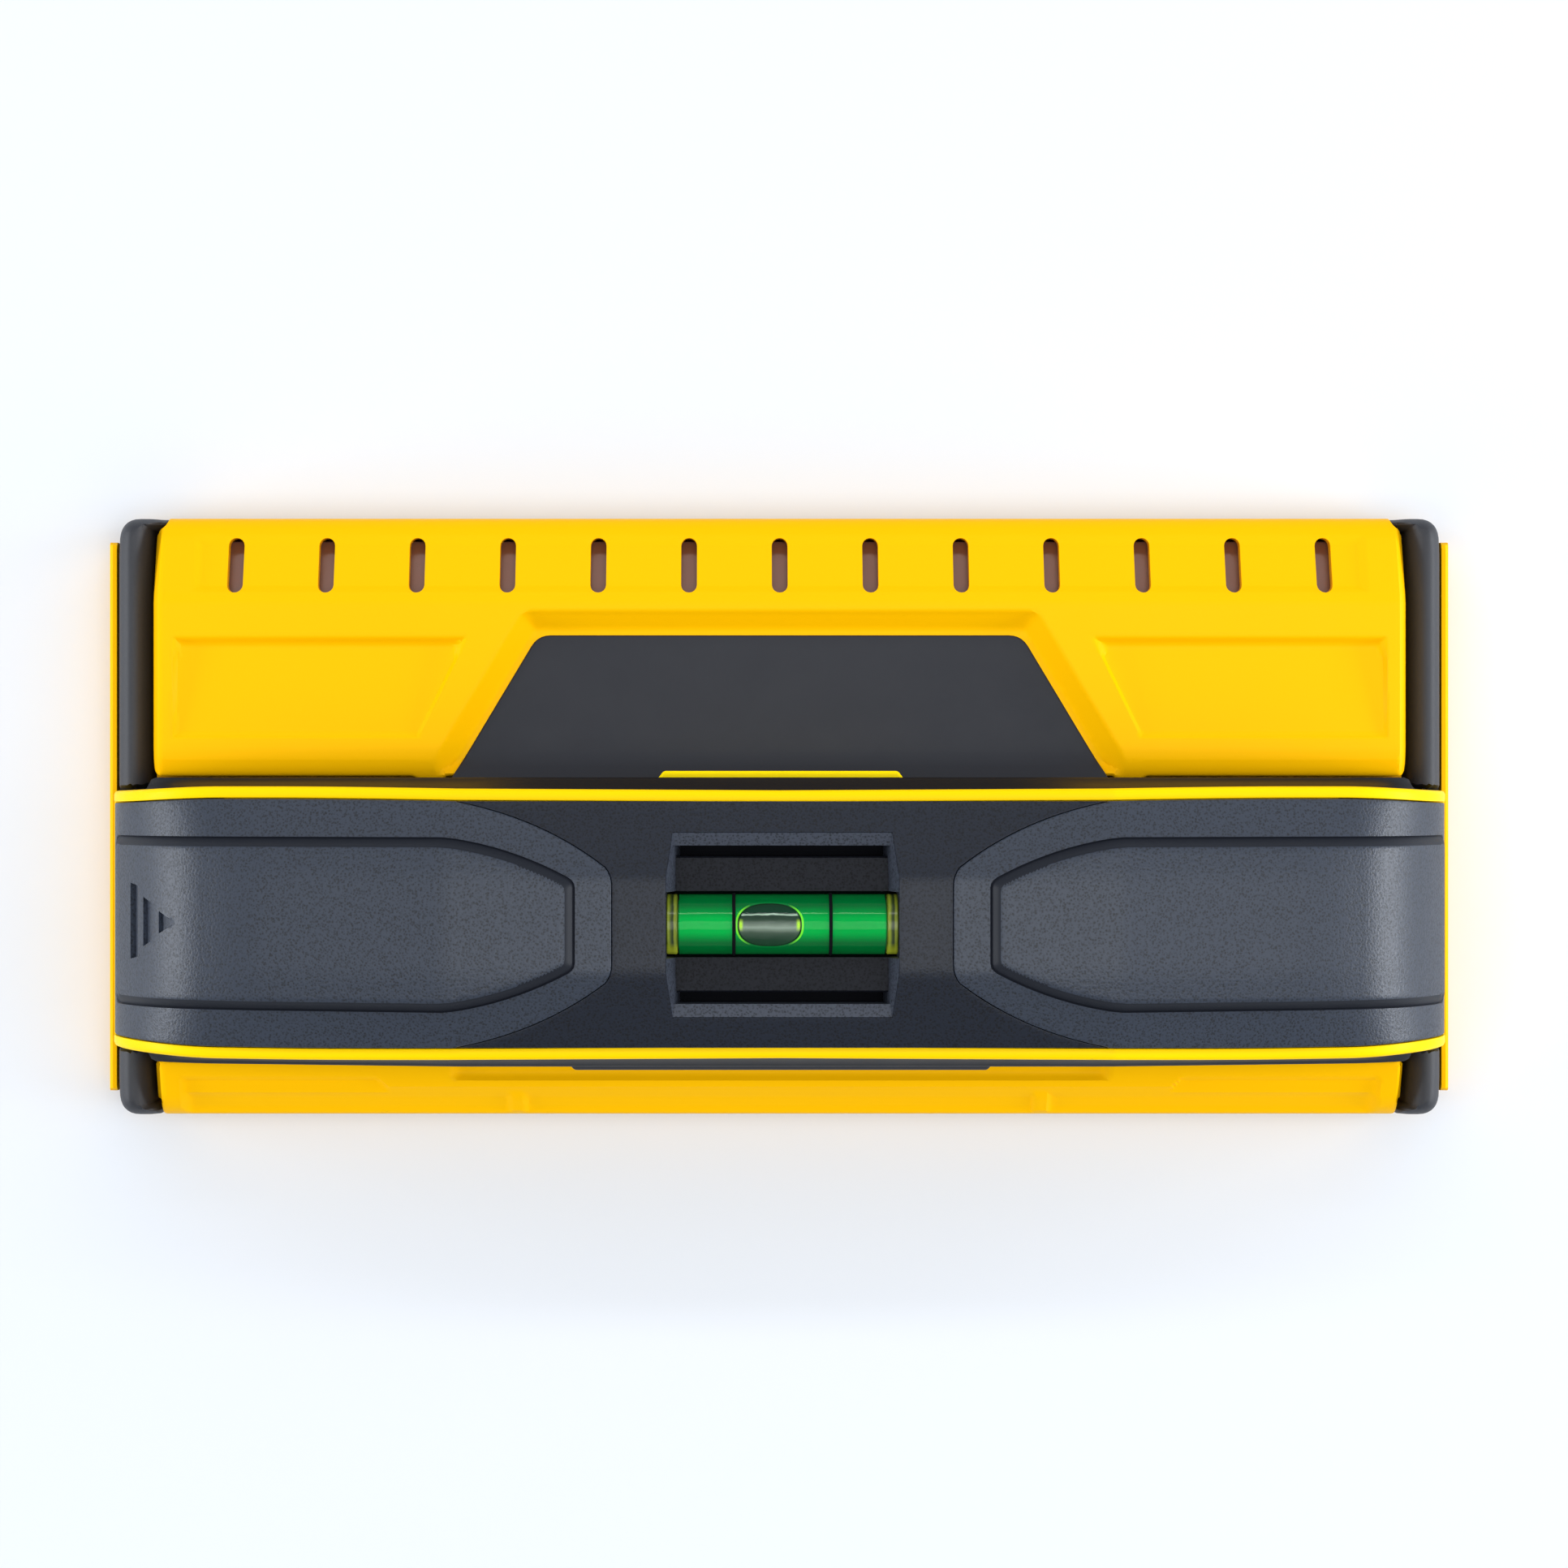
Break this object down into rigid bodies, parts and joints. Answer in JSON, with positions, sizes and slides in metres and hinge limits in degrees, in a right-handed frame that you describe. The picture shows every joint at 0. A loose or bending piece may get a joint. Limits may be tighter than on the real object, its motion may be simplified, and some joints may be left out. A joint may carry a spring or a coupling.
{
  "type": "stud finder",
  "caption": "Wide wall scanner with an arched grip, a bubble vial, a row of indicator slots, rubber ends, a side power button and a hinged battery door.",
  "frame": {"origin": "centre of the bounding box, on the back face that slides on the wall", "axes": "+X along the length, +Y towards the edge with the indicator slots, +Z away from the wall"},
  "size_m": [0.18, 0.0796, 0.0426],
  "materials": {
    "yellow_plastic": "satin moulded",
    "black_plastic": "satin",
    "gloss_black": "gloss",
    "black_rubber": "matt",
    "panel_black": "satin",
    "cover_black": "fine spark texture",
    "grey_grip": "fine spark texture",
    "smoked_lens": "gloss",
    "red_led": "gloss",
    "circuit_board": "solder mask",
    "chip_black": "matt",
    "red_wire": "insulation",
    "white_plastic": "satin",
    "plated_steel": "nickel plated",
    "cell_sleeve": "printed sleeve, left blank",
    "clear_acrylic": "clear",
    "green_liquid": "clear, dyed",
    "vial_cap": "gloss"
  },
  "bodies": {
    "scanner": {"back_cover": "yellow_plastic", "front_housing": "yellow_plastic", "trim_frame": "yellow_plastic", "handle_base": "black_plastic", "battery_tray": "black_plastic", "vial_cradle": "gloss_black", "left_bumper": "black_rubber", "right_bumper": "black_rubber", "side_pad": "black_rubber", "label_plate": "panel_black", "centre_cover": "cover_black", "right_grip": "grey_grip", "lens_bar": "smoked_lens", "led_01": "red_led", "led_02": "red_led", "led_03": "red_led", "led_04": "red_led", "led_05": "red_led", "led_06": "red_led", "led_07": "red_led", "led_08": "red_led", "led_09": "red_led", "led_10": "red_led", "led_11": "red_led", "led_12": "red_led", "led_13": "red_led", "main_board": "circuit_board", "indicator_board": "circuit_board", "switch_board": "circuit_board", "processor_chip": "chip_black", "amplifier_chip": "chip_black", "vial_mark_left": "chip_black", "vial_mark_right": "chip_black", "lead_minus": "chip_black", "lead_plus": "red_wire", "battery_socket": "white_plastic", "bridge_contact": "plated_steel", "spring_contact": "plated_steel", "plus_contact": "plated_steel", "push_switch": "plated_steel", "housing_screw_1": "plated_steel", "housing_screw_2": "plated_steel", "housing_screw_3": "plated_steel", "housing_screw_4": "plated_steel", "housing_screw_5": "plated_steel", "housing_screw_6": "plated_steel", "battery_1": "cell_sleeve", "battery_2": "cell_sleeve", "vial_tube": "clear_acrylic", "vial_liquid": "green_liquid", "vial_cap_left": "vial_cap", "vial_cap_right": "vial_cap"},
    "battery_door": {"battery_door": "grey_grip"},
    "power_button": {"power_button": "yellow_plastic"},
    "vial_bubble": {"vial_bubble": "clear_acrylic"}
  },
  "joints": [
    {"name": "door_hinge", "type": "hinge", "parent": "scanner", "child": "battery_door", "pos_m": [-0.0211, -0.0134, 0.0428], "axis": [0, 1, 0], "range_deg": [0, 75]},
    {"name": "button_press", "type": "slide", "parent": "scanner", "child": "power_button", "axis": [0, -1, 0], "range_m": [0, 0.001], "stiffness_N_per_m": 400},
    {"name": "bubble_travel", "type": "slide", "parent": "scanner", "child": "vial_bubble", "axis": [1, 0, 0], "range_m": [-0.0065, 0.0098]}
  ]
}
